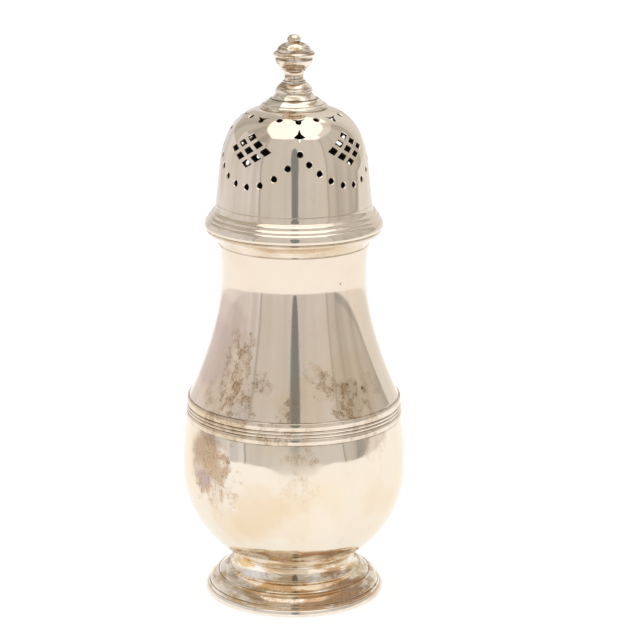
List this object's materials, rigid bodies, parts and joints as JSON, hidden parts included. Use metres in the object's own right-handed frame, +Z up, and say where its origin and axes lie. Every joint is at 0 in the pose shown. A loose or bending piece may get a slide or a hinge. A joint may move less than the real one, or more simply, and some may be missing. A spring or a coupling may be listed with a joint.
{
  "type": "sugar caster",
  "caption": "Pear-shaped silver sugar caster on a moulded foot, with a reeded girdle and a pull-off pierced dome cover topped by a turned finial.",
  "frame": {"origin": "centre of the foot's base ring, on the table", "axes": "+Z up along the caster's axis, -Y towards the front of the picture, +X to the right"},
  "size_m": [0.0712, 0.0712, 0.1803],
  "materials": {
    "body_silver": "polished silver plate with a warm tarnish",
    "cover_silver": "polished silver plate",
    "finial_silver": "polished silver plate with brown tarnish in its grooves",
    "foot_silver": "polished silver plate with brown tarnish",
    "plain_silver": "plain silver plate, dull inside"
  },
  "bodies": {
    "body": {"foot_rim": "foot_silver", "foot": "foot_silver", "foot_collet": "foot_silver", "bowl": "body_silver", "girdle": "body_silver", "neck": "body_silver", "mouth_wire": "body_silver"},
    "cover": {"cover_bezel": "plain_silver", "cover_rim": "cover_silver", "cover_dome": "cover_silver", "finial_boss": "finial_silver", "finial_stem": "finial_silver", "finial_cap": "finial_silver", "finial_stud": "plain_silver", "finial_washer": "plain_silver", "finial_nut": "plain_silver"}
  },
  "joints": [
    {"name": "cover_lift", "type": "slide", "parent": "body", "child": "cover", "axis": [0, 0, 1], "range_m": [0, 0.07]}
  ]
}
